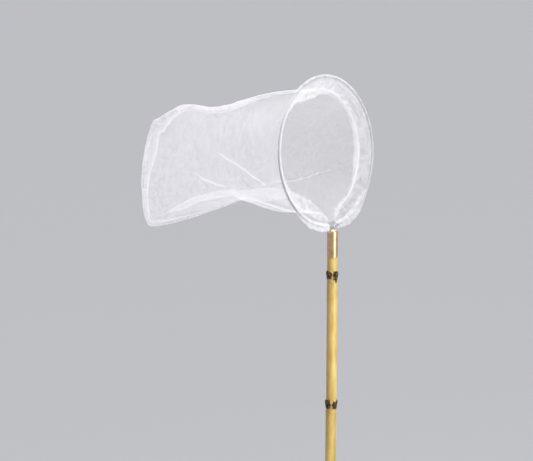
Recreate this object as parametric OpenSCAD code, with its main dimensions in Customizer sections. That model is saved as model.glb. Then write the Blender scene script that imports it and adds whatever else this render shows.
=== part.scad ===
// Pond net: a bamboo cane with a metal ferrule, a wire hoop and a sewn mesh bag.
// Millimetres. +Z runs up the cane, the origin is the centre of its sawn butt end,
// and the bag stands out from the hoop along +Y.

/* [Cane] */
// length of the cane, from the sawn butt to the rounded top
cane_length = 802.5; // [500:0.5:1200]
// diameter of the plain length at the butt
cane_butt_d = 18; // [16:0.1:22]
// diameter of the plain length under the ferrule
cane_top_d = 14.8; // [13.5:0.1:18]
// bore of the hollow lengths between the joints of the cane
cane_bore_d = 9; // [8.6:0.1:10]
// distance from the top of the cane down to its first joint
first_joint_depth = 70.5; // [60:0.5:90]
// distance from one joint of the cane to the next
joint_pitch = 199; // [110:1:240]
// shortest plain length that is left below the last joint
butt_run = 100; // [60:5:140]
// how far a joint stands out from the cane
joint_rise = 1; // [0.4:0.1:1.6]
// half the length over which the cane swells into a joint
joint_half = 9; // [6:0.5:10]
// thickness of the woody partition inside a joint
partition_t = 5; // [3:0.5:8]

/* [Ferrule] */
// length of the ferrule
ferrule_length = 42.5; // [30:0.5:46]
// thickness of the ferrule's sheet metal
ferrule_wall = 0.5; // [0.4:0.1:1]
// outer radius of the ferrule's domed shoulder
shoulder_r = 6; // [3:0.1:6.5]

/* [Hoop] */
// diameter of the hoop, at the middle of its wire
hoop_d = 220; // [180:1:260]
// diameter of the hoop's wire
wire_d = 3; // [2.4:0.1:3.2]
// radius at which the wire turns from the hoop into its tails
tail_bend_r = 3; // [2.5:0.1:8]
// straight wire between that turn and the bend that leans the hoop
tail_run = 0.6; // [0.6:0.1:4]
// angle by which the hoop leans towards the bag
hoop_lean = 5.5; // [1:0.1:10]
// radius of the bend that leans the hoop
lean_bend_r = 6; // [5:0.5:12]
// how much thinner the wire is drawn where it is bent
bend_thinning = 0.06; // [0.04:0.01:0.1]
// room left below the tails and the wedge in the cane's top bore
tail_end_room = 8; // [4:1:12]
// width of the wooden wedge between the tails
wedge_w = 6.6; // [5:0.1:7]
// length of the wedge's tapered end
wedge_taper = 12; // [6:1:20]
// thickness of the wedge at its tip
wedge_tip = 1; // [0.6:0.1:1.4]

/* [Hem] */
// thickness of the cloth tube round the wire
casing_t = 0.8; // [0.6:0.1:1.2]
// slack between the wire and the cloth tube
casing_slack = 0.3; // [0.2:0.1:0.6]
// width of the hem band, along its slope
hem_w = 26; // [18:1:32]
// thickness of the hem band, which is the mesh folded over three times
hem_t = 1.2; // [0.8:0.1:1.8]
// slope of the hem band, measured from the bag's axis
hem_slope = 50; // [35:1:65]
// distance of the cloth tube's ends from the turns of the wire into its tails
hem_end_room = 2.4; // [1:0.1:6]
// gap between the ends of the hem band, at its inner edge
hem_notch = 52; // [30:1:60]
// distance of the hem's sewn line from the band's inner edge
hem_sewn_in = 4; // [3:0.5:8]

/* [Bag] */
// depth of the bag, from the hoop to the outermost point of the end seam
bag_depth = 392; // [350:1:480]
// length of the gathered neck behind the hem, where the bag bends
neck_length = 60; // [50:1:70]
// thickness of the mesh with its folds pressed flat
bag_t = 0.8; // [0.6:0.1:1.2]
// distance of the top edge's lowest place from the end of the bag
waist_from_end = 178; // [150:1:200]
// height of the top edge there, above the bag's axis
waist_height = 72; // [55:1:85]
// distance of the top edge's shoulder from the end of the bag
shoulder_from_end = 110; // [90:1:130]
// height of the shoulder
shoulder_height = 78; // [60:1:90]
// distance of the upper end corner from the end of the bag
top_corner_from_end = 40; // [25:1:60]
// height of the upper end corner
top_corner_height = 50; // [30:1:55]
// distance of the pinched place on the lower edge from the hoop
pinch_from_hoop = 171; // [140:1:190]
// depth of the pinched place below the bag's axis
pinch_drop = 74; // [55:1:85]
// distance of the lower end corner from the end of the bag
low_corner_from_end = 8; // [5:1:25]
// depth of the lower end corner below the bag's axis
low_corner_drop = 121; // [95:1:135]
// how far the end seam bows out beyond a straight line between its corners
end_bow = 22; // [5:1:35]

/* [Seam] */
// width of the seam allowance that stands out round the bag
seam_w = 9; // [6:0.5:12]
// thickness of the seam allowance
seam_t = 1.6; // [1.2:0.1:2.4]
// distance of the seam's sewn line from the bag's wall
seam_sewn_out = 2; // [1.5:0.1:3]
// width of cloth beyond the sewn line where the seam starts at the neck
seam_start_w = 1; // [0.6:0.1:2]
// length over which the allowance widens from there
seam_taper = 70; // [40:5:100]

/* [Thread and fits] */
// diameter of the sewing thread
thread_d = 0.6; // [0.4:0.1:0.8]
// gap between rigid pieces that seat on each other
seat_gap = 0.1; // [0.05:0.05:0.2]
// gap between pieces of cloth that lie on each other
cloth_gap = 0.2; // [0.1:0.05:0.3]
// gap between the hem and the neck, which moves against it
neck_gap = 0.3; // [0.3:0.1:0.6]
// gap round the tails in the ferrule's hole
hole_gap = 0.3; // [0.2:0.1:0.6]

/* [Hidden] */
$fn = 96;

// a cut reaches this far past the face that it opens
past = 1;

// the cane: its joints are counted down from the top
joint_count = floor((cane_length - first_joint_depth - butt_run) / joint_pitch) + 1;
bore_r = cane_bore_d / 2;
top_r = cane_top_d / 2;
butt_r = cane_butt_d / 2;
joint_samples = 18;
top_samples = 6;
// widths of the sheath scar and of the ridge above it, and the step between them
scar_w = joint_half / 6;
ridge_w = joint_half / 3;
ridge_up = joint_half / 3;
top_bore_depth = first_joint_depth - partition_t / 2;

// the ferrule: a cap on the cane's top
ferrule_in_r = top_r + seat_gap;
ferrule_out_r = ferrule_in_r + ferrule_wall;
ferrule_top = cane_length + seat_gap + ferrule_wall;
inner_shoulder_r = shoulder_r - ferrule_wall;
cane_round_r = inner_shoulder_r - seat_gap;

// the tails: pushed out against the bore by the wedge
wire_r = wire_d / 2;
tail_x = bore_r - seat_gap - wire_r;
wedge_t = 2 * (tail_x - wire_r - seat_gap);
tail_bottom = cane_length - top_bore_depth + tail_end_room;
ferrule_hole_r = tail_x + wire_r + hole_gap;

// the hoop: the turns into the tails touch its circle from below
hoop_r = hoop_d / 2;
turn_drop = sqrt(pow(hoop_r + tail_bend_r, 2) - pow(tail_x + tail_bend_r, 2));
turn_angle = atan2(turn_drop, tail_x + tail_bend_r);
lean_reach = lean_bend_r * tan(hoop_lean / 2);
pivot_z = ferrule_top + seat_gap + lean_reach;
pivot_drop = turn_drop + tail_run;
bend_wire_r = wire_r - bend_thinning / 2;
// a bend runs on a little way inside the straight wire at each of its ends
bend_lap = 0.3;
turn_lap = bend_lap / tail_bend_r * 180 / PI;
lean_lap = bend_lap / lean_bend_r * 180 / PI;

// the hem: a tube round the wire and a band that slopes in towards the bag
casing_in_r = wire_r + casing_slack;
casing_out_r = casing_in_r + casing_t;
hem_in_r = hoop_r - hem_w * sin(hem_slope);
hem_back = hem_w * cos(hem_slope);
sewn_along = hem_w - hem_sewn_in;
hem_end_x = (tail_x + tail_bend_r) * hoop_r / (hoop_r + tail_bend_r) + hem_end_room;
// the sewn line stops where the notch narrows the band
sewn_r = hoop_r - sewn_along * sin(hem_slope);
sewn_end_angle = asin(hem_notch / 2 / sewn_r);
thread_r = thread_d / 2;

// the neck runs from the back of the hem to the front of the panels
hem_reach = hem_back + hem_t / 2 * sin(hem_slope);
neck_front = hem_reach + neck_gap;
panel_front = neck_front + neck_length;
neck_rear = panel_front - cloth_gap;
neck_rings = 6;
neck_sides = 48;

// the bag's outline in the plane of its seam, as places from the hoop and heights
rim_height = hem_in_r;
top_edge = [
    [panel_front, rim_height],
    [bag_depth - waist_from_end, waist_height],
    [bag_depth - shoulder_from_end, shoulder_height],
    [bag_depth - top_corner_from_end, top_corner_height]
];
low_edge = [
    [panel_front, -rim_height],
    [pinch_from_hoop, -pinch_drop],
    [bag_depth - low_corner_from_end, -low_corner_drop]
];
panel_steps = 20;
panel_sides = 18;
// how early the bag's width falls towards its flat end
width_power = 1.5;
// how late the end's bow sets in along the bag
bow_power = 5;

function ease(t) = t * t * (3 - 2 * t);
function mix(a, b, t) = a + (b - a) * t;
function unit(v) = v / norm(v);

// height of an edge at place y, easing from one of its stations to the next
function eased_edge(edge, y, i = 0) =
    i >= len(edge) - 2 || y <= edge[i + 1][0]
        ? mix(edge[i][1], edge[i + 1][1],
              ease(min(1, max(0, (y - edge[i][0]) / (edge[i + 1][0] - edge[i][0])))))
        : eased_edge(edge, y, i + 1);

// width of the seam allowance at place y
function allowance(y) =
    mix(seam_sewn_out + thread_r + seam_start_w, seam_w,
        ease(min(1, max(0, (y - panel_front) / seam_taper))));

// the panels' edges, drawn in from the outline by the seam allowance
function top_place(u) = mix(panel_front, bag_depth - top_corner_from_end - seam_w, u);
function low_place(u) = mix(panel_front, bag_depth - low_corner_from_end - seam_w, u);
function top_height(u) = eased_edge(top_edge, top_place(u)) - allowance(top_place(u));
function low_height(u) = lookup(low_place(u), low_edge) + allowance(low_place(u));
function half_width(u) = bag_t + (top_height(0) - bag_t) * (1 - pow(u, width_power));

// a point on a panel at step u from neck to end and angle a from lower to upper edge;
// inset moves it in through the wall
function panel_point(u, a, inset) =
    let (mid = (top_height(u) + low_height(u)) / 2,
         half = (top_height(u) - low_height(u)) / 2 - inset,
         up = (1 - cos(a)) / 2,
         place = mix(low_place(u), top_place(u), up) + end_bow * pow(u, bow_power) * sin(a))
    [-cloth_gap / 2 - max(0, half_width(u) - inset) * sin(a), place, mid - half * cos(a)];

// radius of the cane at height z: a taper in steps, a scar and a ridge at each joint
function joint_z(i) = cane_length - first_joint_depth - i * joint_pitch;
function length_r(i) = mix(top_r, butt_r, i / joint_count);
function bump(z, at, width) = exp(-pow((z - at) / width, 2));
function joint_r(i, z) =
    mix(length_r(i + 1), length_r(i), ease((z - joint_z(i) + joint_half) / (2 * joint_half)))
    + joint_rise * (bump(z, joint_z(i) + ridge_up, ridge_w)
                    - bump(joint_z(i) + joint_half, joint_z(i) + ridge_up, ridge_w)) * joint_fade(i, z)
    + joint_rise / 2 * bump(z, joint_z(i) - scar_w, scar_w) * joint_fade(i, z);
// brings the swelling to nothing at both ends of a joint
function joint_fade(i, z) = 1 - pow((z - joint_z(i)) / joint_half, 4);

function joint_points(i) = [
    for (k = [0 : joint_samples])
        let (z = joint_z(i) + joint_half - 2 * joint_half * k / joint_samples)
        [joint_r(i, z), z]
];

// half the cane's section, from the top down
function cane_outline() = concat(
    [[0, cane_length]],
    [for (k = [0 : top_samples])
        let (a = 90 - 90 * k / top_samples)
        [top_r - cane_round_r + cane_round_r * cos(a),
         cane_length - cane_round_r + cane_round_r * sin(a)]],
    [for (i = [0 : joint_count - 1]) each joint_points(i)],
    [[butt_r, 0], [0, 0]]
);

// carries what is drawn round the hoop's centre to its place on the cane
module on_hoop() {
    translate([0, 0, pivot_z])
        rotate([-hoop_lean, 0, 0])
            translate([0, 0, pivot_drop])
                children();
}

// lays what is drawn in the XY plane into the plane of the hoop, with Y pointing down
module in_hoop_plane() {
    rotate([-90, 0, 0])
        children();
}

// lays a section drawn as place and height into the plane of the bag's seam
module in_seam_plane() {
    rotate([90, 0, 90])
        children();
}

module cane() {
    color("#d2b06a")
        difference() {
            rotate_extrude()
                polygon(cane_outline());
            // open bore that takes the tails
            translate([0, 0, cane_length - top_bore_depth])
                cylinder(r = bore_r, h = top_bore_depth + past);
            // closed hollows between the joints
            for (i = [1 : 1 : joint_count - 1])
                translate([0, 0, joint_z(i) + partition_t / 2])
                    cylinder(r = bore_r, h = joint_pitch - partition_t);
            // open bore at the sawn butt
            translate([0, 0, -past])
                cylinder(r = bore_r, h = joint_z(joint_count - 1) - partition_t / 2 + past);
        }
}

// solid cap section with a rounded shoulder
module cap_section(r, h, round_r) {
    square([r, h - round_r]);
    square([r - round_r, h]);
    translate([r - round_r, h - round_r])
        circle(r = round_r);
}

module ferrule() {
    color("#b98a58")
        translate([0, 0, ferrule_top - ferrule_length])
            rotate_extrude()
                difference() {
                    intersection() {
                        cap_section(ferrule_out_r, ferrule_length, shoulder_r);
                        square([ferrule_out_r, ferrule_length]);
                    }
                    cap_section(ferrule_in_r, ferrule_length - ferrule_wall, inner_shoulder_r);
                    square([ferrule_hole_r, ferrule_length + past]);
                }
}

module wedge() {
    color("#c9a56a")
        translate([0, wedge_w / 2, 0])
            rotate([90, 0, 0])
                linear_extrude(wedge_w)
                    polygon([
                        [-wedge_t / 2, cane_length - seat_gap],
                        [-wedge_t / 2, tail_bottom + wedge_taper],
                        [-wedge_tip / 2, tail_bottom],
                        [wedge_tip / 2, tail_bottom],
                        [wedge_t / 2, tail_bottom + wedge_taper],
                        [wedge_t / 2, cane_length - seat_gap]
                    ]);
}

// one turn and tail of the hoop's wire
module wire_tail() {
    on_hoop() {
        in_hoop_plane()
            translate([tail_x + tail_bend_r, turn_drop, 0])
                rotate([0, 0, 180 - turn_lap])
                    rotate_extrude(angle = turn_angle + 2 * turn_lap)
                        translate([tail_bend_r, 0])
                            circle(r = bend_wire_r);
        translate([tail_x, 0, lean_reach - pivot_drop])
            cylinder(r = wire_r, h = tail_run - lean_reach);
    }
    translate([tail_x, lean_bend_r, pivot_z - lean_reach])
        in_seam_plane()
            rotate([0, 0, 180 - hoop_lean - lean_lap])
                rotate_extrude(angle = hoop_lean + 2 * lean_lap)
                    translate([lean_bend_r, 0])
                        circle(r = bend_wire_r);
    translate([tail_x, 0, tail_bottom])
        cylinder(r = wire_r, h = pivot_z - lean_reach - tail_bottom);
}

module hoop() {
    color("#a9adb2")
        union() {
            on_hoop()
                in_hoop_plane()
                    rotate([0, 0, 180 - turn_angle])
                        rotate_extrude(angle = 180 + 2 * turn_angle)
                            translate([hoop_r, 0])
                                circle(r = wire_r);
            wire_tail();
            mirror([1, 0, 0])
                wire_tail();
        }
}

// carries a section drawn along the hem's slope to the wire: x runs down the slope
module on_hem_slope() {
    translate([hoop_r, 0])
        rotate([0, 0, 90 + hem_slope])
            children();
}

// the notch between the hem's ends, seen along the bag's axis
module hem_notch_cut() {
    in_hoop_plane()
        linear_extrude(2 * hoop_r, center = true)
            polygon([
                [-hem_notch / 2, hem_in_r - casing_out_r],
                [hem_notch / 2, hem_in_r - casing_out_r],
                [hem_end_x, hoop_r - casing_out_r],
                [hem_end_x, hoop_r + 2 * casing_out_r],
                [-hem_end_x, hoop_r + 2 * casing_out_r],
                [-hem_end_x, hoop_r - casing_out_r]
            ]);
}

module hem_casing() {
    color("#f4f4f2")
        on_hoop()
            difference() {
                in_hoop_plane()
                    rotate_extrude()
                        difference() {
                            union() {
                                translate([hoop_r, 0])
                                    circle(r = casing_out_r);
                                on_hem_slope()
                                    translate([0, -hem_t / 2])
                                        square([hem_w, hem_t]);
                            }
                            translate([hoop_r, 0])
                                circle(r = casing_in_r);
                        }
                hem_notch_cut();
            }
}

// one line of the hem's lockstitch, on the side of the band that side picks
module hem_thread(side) {
    on_hoop()
        in_hoop_plane()
            rotate([0, 0, 90 + sewn_end_angle])
                rotate_extrude(angle = 360 - 2 * sewn_end_angle)
                    on_hem_slope()
                        translate([sewn_along, side * (hem_t / 2 + cloth_gap / 2 + thread_r)])
                            circle(r = thread_r);
}

module hem_thread_front() {
    color("#ffffff")
        hem_thread(1);
}

module hem_thread_back() {
    color("#ffffff")
        hem_thread(-1);
}

// a point on the neck at step t from hem to panels and angle a round the bag
function neck_point(t, a, inset) =
    let (e = ease(t),
         wide = mix(hem_in_r, half_width(0) + cloth_gap / 2, e) - inset,
         mid = mix(0, (top_height(0) + low_height(0)) / 2, e),
         half = mix(hem_in_r, (top_height(0) - low_height(0)) / 2, e) - inset)
    [wide * sin(a), mix(neck_front, neck_rear, t), mid - half * cos(a)];

module bag_neck() {
    rings = neck_rings + 1;
    count = rings * neck_sides;
    points = [
        for (inset = [0, bag_t])
            for (i = [0 : neck_rings])
                for (j = [0 : neck_sides - 1])
                    neck_point(i / neck_rings, 360 * j / neck_sides, inset)
    ];
    function at(i, j) = i * neck_sides + j % neck_sides;
    faces = [
        for (j = [0 : neck_sides - 1]) each concat(
            [for (i = [0 : neck_rings - 1]) each [
                [at(i, j), at(i, j + 1), at(i + 1, j)],
                [at(i, j + 1), at(i + 1, j + 1), at(i + 1, j)],
                [count + at(i, j), count + at(i + 1, j), count + at(i, j + 1)],
                [count + at(i, j + 1), count + at(i + 1, j), count + at(i + 1, j + 1)]
            ]],
            [
                [at(0, j), count + at(0, j), at(0, j + 1)],
                [at(0, j + 1), count + at(0, j), count + at(0, j + 1)],
                [at(neck_rings, j), at(neck_rings, j + 1), count + at(neck_rings, j)],
                [at(neck_rings, j + 1), count + at(neck_rings, j + 1), count + at(neck_rings, j)]
            ])
    ];
    color("#e6e8ea")
        on_hoop()
            polyhedron(points, faces);
}

module panel() {
    across = panel_sides + 1;
    count = (panel_steps + 1) * across;
    points = [
        for (inset = [0, bag_t])
            for (i = [0 : panel_steps])
                for (j = [0 : panel_sides])
                    panel_point(i / panel_steps, 180 * j / panel_sides, inset)
    ];
    function at(i, j) = i * across + j;
    faces = concat(
        [for (i = [0 : panel_steps - 1]) for (j = [0 : panel_sides - 1]) each [
            [at(i, j), at(i + 1, j), at(i, j + 1)],
            [at(i, j + 1), at(i + 1, j), at(i + 1, j + 1)],
            [count + at(i, j), count + at(i, j + 1), count + at(i + 1, j)],
            [count + at(i, j + 1), count + at(i + 1, j + 1), count + at(i + 1, j)]
        ]],
        [for (i = [0 : panel_steps - 1]) each [
            [at(i, 0), count + at(i, 0), at(i + 1, 0)],
            [at(i + 1, 0), count + at(i, 0), count + at(i + 1, 0)],
            [at(i, panel_sides), at(i + 1, panel_sides), count + at(i, panel_sides)],
            [at(i + 1, panel_sides), count + at(i + 1, panel_sides), count + at(i, panel_sides)]
        ]],
        [for (j = [0 : panel_sides - 1]) each [
            [at(0, j), at(0, j + 1), count + at(0, j)],
            [at(0, j + 1), count + at(0, j + 1), count + at(0, j)],
            [at(panel_steps, j), count + at(panel_steps, j), at(panel_steps, j + 1)],
            [at(panel_steps, j + 1), count + at(panel_steps, j), count + at(panel_steps, j + 1)]
        ]]);
    on_hoop()
        polyhedron(points, faces);
}

module bag_left_panel() {
    color("#eceef0")
        panel();
}

module bag_right_panel() {
    color("#dfe2e5")
        mirror([1, 0, 0])
            panel();
}

// the line where the panels meet, round the bag from the lower edge to the upper
function seam_line() = concat(
    [for (i = [0 : panel_steps - 1]) edge_point(i / panel_steps, 0)],
    [for (j = [0 : panel_sides]) edge_point(1, 180 * j / panel_sides)],
    [for (i = [panel_steps - 1 : -1 : 0]) edge_point(i / panel_steps, 180)]
);
function edge_point(u, a) =
    let (p = panel_point(u, a, 0))
    [p[1], p[2]];
function out_from(line, i) =
    let (along = line[min(i + 1, len(line) - 1)] - line[max(i - 1, 0)])
    unit([along[1], -along[0]]);
// that line moved outwards by a distance, or by the allowance's width where none is given
function moved_out(line, distance) =
    [for (i = [0 : len(line) - 1])
        line[i] + (is_undef(distance) ? allowance(line[i][0]) : distance) * out_from(line, i)];
function turned_round(list) = [for (i = [len(list) - 1 : -1 : 0]) list[i]];

// a strip round the bag between two distances from the panels' edge, or out to its full width
module seam_strip(from, to, thickness) {
    line = seam_line();
    in_seam_plane()
        linear_extrude(thickness, center = true)
            polygon(concat(moved_out(line, to), turned_round(moved_out(line, from))));
}

module bag_seam() {
    color("#f7f7f5")
        on_hoop()
            seam_strip(from = cloth_gap, thickness = seam_t);
}

// one line of the seam's lockstitch, on the side of the allowance that side picks
module seam_thread(side) {
    on_hoop()
        translate([side * (seam_t / 2 + cloth_gap / 2 + thread_r), 0, 0])
            seam_strip(seam_sewn_out - thread_r, seam_sewn_out + thread_r, thread_d);
}

module seam_thread_left() {
    color("#ffffff")
        seam_thread(-1);
}

module seam_thread_right() {
    color("#ffffff")
        seam_thread(1);
}

cane();
ferrule();
wedge();
hoop();
hem_casing();
hem_thread_front();
hem_thread_back();
bag_neck();
bag_left_panel();
bag_right_panel();
bag_seam();
seam_thread_left();
seam_thread_right();
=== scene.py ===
"""Looks of a pond net: a bamboo cane with a brass ferrule, a wire hoop and a sewn bag of nylon net."""

import math

import bpy
import numpy as np
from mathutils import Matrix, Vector, noise


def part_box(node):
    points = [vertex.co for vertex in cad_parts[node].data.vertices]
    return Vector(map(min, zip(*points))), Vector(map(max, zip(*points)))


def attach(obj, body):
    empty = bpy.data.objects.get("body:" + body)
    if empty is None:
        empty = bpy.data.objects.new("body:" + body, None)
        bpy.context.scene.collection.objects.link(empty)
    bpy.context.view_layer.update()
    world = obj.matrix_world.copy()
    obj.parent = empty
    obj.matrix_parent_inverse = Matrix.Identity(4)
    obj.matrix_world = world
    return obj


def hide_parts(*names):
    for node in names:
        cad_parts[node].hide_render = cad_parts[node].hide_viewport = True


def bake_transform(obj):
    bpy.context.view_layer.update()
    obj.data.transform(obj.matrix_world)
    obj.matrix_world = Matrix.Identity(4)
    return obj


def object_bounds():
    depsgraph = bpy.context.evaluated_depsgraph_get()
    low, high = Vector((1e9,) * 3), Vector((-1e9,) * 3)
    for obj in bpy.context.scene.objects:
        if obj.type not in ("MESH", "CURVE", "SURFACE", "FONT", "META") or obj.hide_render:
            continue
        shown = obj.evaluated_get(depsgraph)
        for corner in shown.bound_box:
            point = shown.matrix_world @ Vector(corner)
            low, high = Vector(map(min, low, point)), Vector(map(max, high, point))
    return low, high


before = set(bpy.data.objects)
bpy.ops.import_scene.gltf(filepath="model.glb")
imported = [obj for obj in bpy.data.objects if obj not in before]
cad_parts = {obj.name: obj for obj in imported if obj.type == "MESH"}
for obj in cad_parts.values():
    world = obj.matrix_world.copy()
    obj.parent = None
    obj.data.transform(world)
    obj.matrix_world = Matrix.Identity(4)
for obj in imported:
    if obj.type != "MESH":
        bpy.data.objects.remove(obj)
cad_low, cad_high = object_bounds()
scene = bpy.context.scene

# Sizes are in millimetres until a piece's points are made, which are in metres.
MM = 0.001

# The hoop's own frame: x across, place out along the bag, height up the plane of the hoop.
WIRE_R = 1.5
HOOP_LEAN = math.radians(5.5)
hoop_high = np.array(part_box("hoop")[1]) / MM
HOOP_R = hoop_high[0] - WIRE_R
ACROSS = np.array([1.0, 0.0, 0.0])
OUT = np.array([0.0, math.cos(HOOP_LEAN), -math.sin(HOOP_LEAN)])
UP = np.array([0.0, math.sin(HOOP_LEAN), math.cos(HOOP_LEAN)])
HOOP_CENTRE = np.array([0.0, hoop_high[1] - WIRE_R, hoop_high[2] - WIRE_R]) - HOOP_R * UP

# The hem: the net folded round the wire, and a band that slopes in towards the bag.
HEM_SLOPE = math.radians(50)
HEM_W = 26.0
HEM_IN_R = HOOP_R - HEM_W * math.sin(HEM_SLOPE)
HEM_BACK = HEM_W * math.cos(HEM_SLOPE)
HEM_SEWN = 22.0

# The bag behind it: where its panels begin and end, and how far its end seam bows out.
PANEL_FRONT = 77.5
TOP_END = 341.0
LOW_END = 375.0
END_BOW = 22.0
# the outline of its seam as (place, height), above and below
TOP_EDGE = [
    (17, 92.6), (44, 93.2), (75, 92), (139, 84.5), (189, 74.6),
    (214, 72), (272, 77.6), (318, 64.2), (352, 47),
]
LOW_EDGE = [
    (17, -92.6), (68, -92), (131, -80.5), (161, -73), (214, -86), (293, -107), (350, -118.8), (385, -123),
]
# the width of its seam as (place, mm), along the top and end, and along the bottom
SEAM_W = [(17, 1.8), (77, 2.2), (105, 2.8), (130, 4.5), (155, 7.5), (190, 8.5), (400, 9)]
SEAM_LOW_W = [(17, 2.5), (77, 2.8), (147, 3.2), (290, 4.5), (345, 6), (400, 8)]
# the pinched place low on the bag that creases fan out from, as (place, height)
PINCH = (171.0, -66.0)


def mix(a, b, t):
    """The value at share t of the way from a to b."""
    return a + (b - a) * t


def ease(t):
    """A smooth step from 0 to 1, as t goes from 0 to 1."""
    t = np.clip(t, 0, 1)
    return t * t * (3 - 2 * t)


def bump(at, middle, width):
    """A smooth hump of height 1."""
    return np.exp(-(((at - middle) / width) ** 2))


def smooth(stations, at):
    """A curve through the stations that swings past none of them."""
    x, y = np.array(stations, float).T
    run, step = np.diff(x), np.diff(y) / np.diff(x)
    turns = step[:-1] * step[1:] <= 0
    middle = np.where(turns, 0, 2 * step[:-1] * step[1:] / np.where(turns, 1, step[:-1] + step[1:]))
    slope = np.concatenate([step[:1], middle, step[-1:]])
    i = np.clip(np.searchsorted(x, at) - 1, 0, len(run) - 1)
    t = np.clip((at - x[i]) / run[i], 0, 1)
    rise = y[i + 1] - y[i]
    bend = run[i] * (slope[i] * t * (1 - t) ** 2 - slope[i + 1] * t * t * (1 - t))
    return y[i] + rise * ease(t) + bend


def in_hoop(x, place, height):
    """Points of the hoop's own frame, carried to the part's frame in metres."""
    x, place, height = (np.asarray(v, float)[..., None] for v in np.broadcast_arrays(x, place, height))
    return MM * (HOOP_CENTRE + x * ACROSS + place * OUT + height * UP)


def wander(a, b, cell, seed, octaves=2):
    """Smooth noise from about -1 to 1 on a sheet with coordinates a and b, in cells of a size in mm."""
    a, b = np.broadcast_arrays(a, b)
    spots = (Vector((p / cell, q / cell, seed)) for p, q in zip(a.flat, b.flat))
    return np.array([noise.fractal(spot, 1.0, 2.0, octaves) for spot in spots]).reshape(a.shape)


def creases(a, b, cell, seed):
    """Noise with sharp ridges, from about -1 to 1, as crumpled net has."""
    return 1 - 2.4 * np.abs(wander(a, b, cell, seed))


# Materials


def colour(hex_code):
    """An sRGB hex colour as linear red, green, blue and alpha."""
    parts = [int(hex_code[i : i + 2], 16) / 255 for i in (1, 3, 5)]
    return [p / 12.92 if p <= 0.04045 else ((p + 0.055) / 1.055) ** 2.4 for p in parts] + [1.0]


def node(tree, kind, inputs=(), stops=(), **settings):
    """Adds a node with its settings and the stops of a Color Ramp as (place, hex colour) pairs. An input is a
    value, a socket to link, or a node whose first output is linked. In a Mix of colours, inputs 6 and 7 are
    the colours and output 2 is the result."""
    made = tree.nodes.new("ShaderNode" + kind)
    for name, value in settings.items():
        setattr(made, name, value)
    for name, value in dict(inputs).items():
        if isinstance(value, bpy.types.Node):
            value = value.outputs[0]
        if isinstance(value, bpy.types.NodeSocket):
            tree.links.new(value, made.inputs[name])
        else:
            made.inputs[name].default_value = value
    if stops:
        elements = made.color_ramp.elements
        while len(elements) < len(stops):
            elements.new(1.0)
        for element, (place, hex_code) in zip(elements, stops):
            element.position = place
            element.color = colour(hex_code)
    return made


def new_material(name):
    """A material without nodes, and its tree."""
    material = bpy.data.materials.new(name)
    material.use_nodes = True
    material.node_tree.nodes.clear()
    return material, material.node_tree


NET_WHITE = "#fcfafd"
# the spacing of the net's threads
NET_PITCH = 1.0
# how far the rows of knitting stray from side to side, and over what distance
NET_DRIFT = 1.6
NET_DRIFT_CELL = 14


def nylon_net(name, thread, patch, spread):
    """Knitted nylon net, white and heat-set: bright threads round open holes, so that it veils what is behind
    it and grows whiter with each layer. Its threads are too fine to show one by one in the picture. What
    shows is the share of the cloth that they cover, so that share is uneven in patches, drawn as coarse as
    they need to show."""
    material, tree = new_material(name)
    cloth = node(tree, "UVMap", uv_map="cloth")
    drift = node(tree, "TexNoise", {"Vector": cloth, "Scale": 1 / (NET_DRIFT_CELL * MM), "Detail": 1.0})
    off = node(tree, "VectorMath", {0: drift.outputs["Color"], 1: (0.5, 0.5, 0.5)}, operation="SUBTRACT")
    moved = node(tree, "VectorMath", {0: off, 1: (NET_DRIFT * MM,) * 3, 2: cloth}, operation="MULTIPLY_ADD")
    counted = node(tree, "VectorMath", {0: moved, "Scale": 1 / (NET_PITCH * MM)}, operation="SCALE")
    axes = node(tree, "SeparateXYZ", {0: counted})
    uneven = node(tree, "TexNoise", {"Vector": cloth, "Scale": 1 / (patch * MM), "Detail": 3.0})
    halves = {"To Min": (0.5 - spread) * thread / NET_PITCH, "To Max": (0.5 + spread) * thread / NET_PITCH}
    half = node(tree, "MapRange", {"Value": uneven, "From Min": 0.25, "From Max": 0.75, **halves})
    # crowd is how much closer than knitted the net lies, as a share added to the threads' width
    crowd = node(tree, "Attribute", attribute_name="crowd").outputs["Fac"]
    half = node(tree, "Math", {0: half, 1: crowd, 2: half}, operation="MULTIPLY_ADD")
    # a thread's edge is soft, from 0.6 to 1.4 of its half width
    inside = node(tree, "Math", {0: half, 1: 0.6}, operation="MULTIPLY")
    outside = node(tree, "Math", {0: half, 1: 1.4}, operation="MULTIPLY")
    threads = []
    for axis in "XY":
        swing = node(tree, "Math", {0: axes.outputs[axis], 1: 0.5}, operation="PINGPONG")
        edges = {"Value": swing, "From Min": outside, "From Max": inside}
        threads.append(node(tree, "MapRange", edges, interpolation_type="SMOOTHSTEP"))
    cover = node(tree, "Math", {0: threads[0], 1: threads[1]}, operation="MAXIMUM")
    relief = node(tree, "Bump", {"Height": cover, "Strength": 1.0, "Distance": thread / 2 * MM})
    white = colour(NET_WHITE)
    nylon = {"Base Color": white, "Roughness": 0.55, "IOR": 1.53, "Sheen Weight": 0.15, "Normal": relief}
    yarn = node(tree, "BsdfPrincipled", nylon)
    glow = node(tree, "BsdfTranslucent", {"Color": white})
    lit = node(tree, "MixShader", {0: 0.5, 1: yarn, 2: glow})
    clear = node(tree, "BsdfTransparent")
    seen = node(tree, "MixShader", {0: cover, 1: clear, 2: lit})
    node(tree, "OutputMaterial", {"Surface": seen})
    return material


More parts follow.
